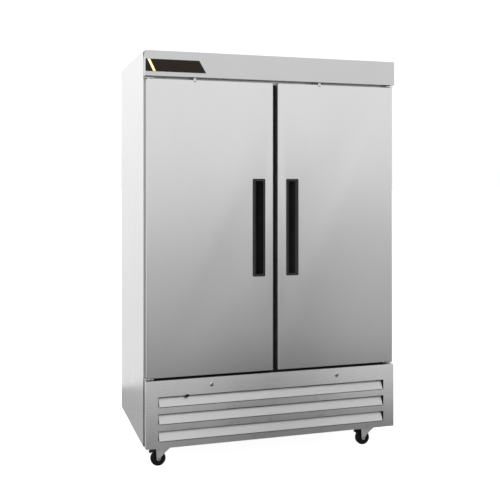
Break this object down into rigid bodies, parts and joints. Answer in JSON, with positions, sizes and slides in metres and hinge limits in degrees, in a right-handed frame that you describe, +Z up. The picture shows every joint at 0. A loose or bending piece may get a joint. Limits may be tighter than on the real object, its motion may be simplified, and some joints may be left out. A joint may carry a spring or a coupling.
{
  "type": "reach-in refrigerator",
  "caption": "Upright stainless reach-in refrigerator with paired solid doors, recessed black pulls, a louvred base over the condensing unit, and locking casters.",
  "frame": {"origin": "on the floor, under the middle of the cabinet's box", "axes": "+Z up, -Y the door side, +X to the viewer's right when facing the doors"},
  "size_m": [1.372, 0.82, 2.095],
  "materials": {
    "stainless": "satin",
    "galvanised": "satin",
    "liner": "satin",
    "foam": "matte",
    "vinyl": "satin",
    "black_plastic": "satin",
    "plate": "gloss",
    "zinc": "satin",
    "tread": "matte",
    "shelf_coat": "satin",
    "enamel": "gloss",
    "fins": "satin",
    "lens": "satin"
  },
  "bodies": {
    "cabinet": {"back_panel": "galvanised", "base_chassis": "galvanised", "compressor": "enamel", "condenser_coil": "fins", "control_box": "galvanised", "deck_panel": "galvanised", "drain_pan": "galvanised", "evaporator_coil": "fins", "evaporator_housing": "liner", "face_frame": "black_plastic", "fan_shroud": "enamel", "fascia_panel": "stainless", "foam_tub": "foam", "grille_panel": "stainless", "hinge_bracket_bottom_left": "zinc", "hinge_bracket_bottom_right": "zinc", "hinge_bracket_top_left": "zinc", "hinge_bracket_top_right": "zinc", "interior_light": "lens", "liner_back": "liner", "liner_ceiling": "liner", "liner_floor": "liner", "liner_left": "liner", "liner_right": "liner", "name_plate": "plate", "power_inlet": "black_plastic", "side_panel_left": "stainless", "side_panel_right": "stainless", "top_panel": "galvanised"},
    "door_left": {"door_pan_left": "stainless", "door_foam_left": "foam", "door_liner_left": "liner", "door_gasket_left": "vinyl", "door_handle_left": "black_plastic", "door_lug_left": "zinc"},
    "shelf_left_1": {"shelf_left_1": "shelf_coat"},
    "shelf_left_2": {"shelf_left_2": "shelf_coat"},
    "shelf_left_3": {"shelf_left_3": "shelf_coat"},
    "door_right": {"door_pan_right": "stainless", "door_foam_right": "foam", "door_liner_right": "liner", "door_gasket_right": "vinyl", "door_handle_right": "black_plastic", "door_lug_right": "zinc"},
    "shelf_right_1": {"shelf_right_1": "shelf_coat"},
    "shelf_right_2": {"shelf_right_2": "shelf_coat"},
    "shelf_right_3": {"shelf_right_3": "shelf_coat"},
    "fork_front_left": {"caster_fork_front_left": "zinc"},
    "wheel_front_left": {"caster_wheel_front_left": "tread"},
    "fork_front_right": {"caster_fork_front_right": "zinc"},
    "wheel_front_right": {"caster_wheel_front_right": "tread"},
    "fork_rear_left": {"caster_fork_rear_left": "zinc"},
    "wheel_rear_left": {"caster_wheel_rear_left": "tread"},
    "fork_rear_right": {"caster_fork_rear_right": "zinc"},
    "wheel_rear_right": {"caster_wheel_rear_right": "tread"},
    "pedal_front_left": {"brake_pedal_front_left": "black_plastic"},
    "pedal_front_right": {"brake_pedal_front_right": "black_plastic"},
    "evaporator_fan": {"evaporator_fan": "black_plastic"},
    "condenser_fan": {"condenser_fan": "black_plastic"},
    "thermostat_knob": {"thermostat_knob": "black_plastic"}
  },
  "joints": [
    {"name": "door_left_hinge", "type": "hinge", "parent": "cabinet", "child": "door_left", "pos_m": [-0.664, -0.387, 1.2], "axis": [0, 0, -1], "range_deg": [0, 120]},
    {"name": "door_right_hinge", "type": "hinge", "parent": "cabinet", "child": "door_right", "pos_m": [0.664, -0.387, 1.2], "axis": [0, 0, 1], "range_deg": [0, 120]},
    {"name": "front_left_swivel", "type": "hinge", "parent": "cabinet", "child": "fork_front_left", "pos_m": [-0.567, -0.338, 0.0972], "axis": [0, 0, 1], "continuous": true},
    {"name": "front_left_roll", "type": "hinge", "parent": "fork_front_left", "child": "wheel_front_left", "pos_m": [-0.609, -0.338, 0.038], "axis": [0, 1, 0], "continuous": true},
    {"name": "front_right_swivel", "type": "hinge", "parent": "cabinet", "child": "fork_front_right", "pos_m": [0.567, -0.338, 0.0972], "axis": [0, 0, 1], "continuous": true},
    {"name": "front_right_roll", "type": "hinge", "parent": "fork_front_right", "child": "wheel_front_right", "pos_m": [0.525, -0.338, 0.038], "axis": [0, 1, 0], "continuous": true},
    {"name": "rear_left_swivel", "type": "hinge", "parent": "cabinet", "child": "fork_rear_left", "pos_m": [-0.567, 0.338, 0.0972], "axis": [0, 0, 1], "continuous": true},
    {"name": "rear_left_roll", "type": "hinge", "parent": "fork_rear_left", "child": "wheel_rear_left", "pos_m": [-0.609, 0.338, 0.038], "axis": [0, 1, 0], "continuous": true},
    {"name": "rear_right_swivel", "type": "hinge", "parent": "cabinet", "child": "fork_rear_right", "pos_m": [0.567, 0.338, 0.0972], "axis": [0, 0, 1], "continuous": true},
    {"name": "rear_right_roll", "type": "hinge", "parent": "fork_rear_right", "child": "wheel_rear_right", "pos_m": [0.525, 0.338, 0.038], "axis": [0, 1, 0], "continuous": true},
    {"name": "front_left_brake", "type": "hinge", "parent": "fork_front_left", "child": "pedal_front_left", "pos_m": [-0.609, -0.338, 0.0845], "axis": [0, -1, 0], "range_deg": [0, 7]},
    {"name": "front_right_brake", "type": "hinge", "parent": "fork_front_right", "child": "pedal_front_right", "pos_m": [0.525, -0.338, 0.0845], "axis": [0, -1, 0], "range_deg": [0, 7]},
    {"name": "evaporator_fan_spin", "type": "hinge", "parent": "cabinet", "child": "evaporator_fan", "pos_m": [0, 0.05, 1.835], "axis": [0, 1, 0], "continuous": true},
    {"name": "condenser_fan_spin", "type": "hinge", "parent": "cabinet", "child": "condenser_fan", "pos_m": [0.24, -0.222, 0.242], "axis": [0, 1, 0], "continuous": true},
    {"name": "thermostat_turn", "type": "hinge", "parent": "cabinet", "child": "thermostat_knob", "pos_m": [0.235, 0.02, 1.79], "axis": [0, -1, 0], "range_deg": [0, 270]},
    {"name": "shelf_left_1_lift", "type": "slide", "parent": "cabinet", "child": "shelf_left_1", "axis": [0, 0, 1], "range_m": [0, 0.02]},
    {"name": "shelf_left_2_lift", "type": "slide", "parent": "cabinet", "child": "shelf_left_2", "axis": [0, 0, 1], "range_m": [0, 0.02]},
    {"name": "shelf_left_3_lift", "type": "slide", "parent": "cabinet", "child": "shelf_left_3", "axis": [0, 0, 1], "range_m": [0, 0.02]},
    {"name": "shelf_right_1_lift", "type": "slide", "parent": "cabinet", "child": "shelf_right_1", "axis": [0, 0, 1], "range_m": [0, 0.02]},
    {"name": "shelf_right_2_lift", "type": "slide", "parent": "cabinet", "child": "shelf_right_2", "axis": [0, 0, 1], "range_m": [0, 0.02]},
    {"name": "shelf_right_3_lift", "type": "slide", "parent": "cabinet", "child": "shelf_right_3", "axis": [0, 0, 1], "range_m": [0, 0.02]}
  ]
}
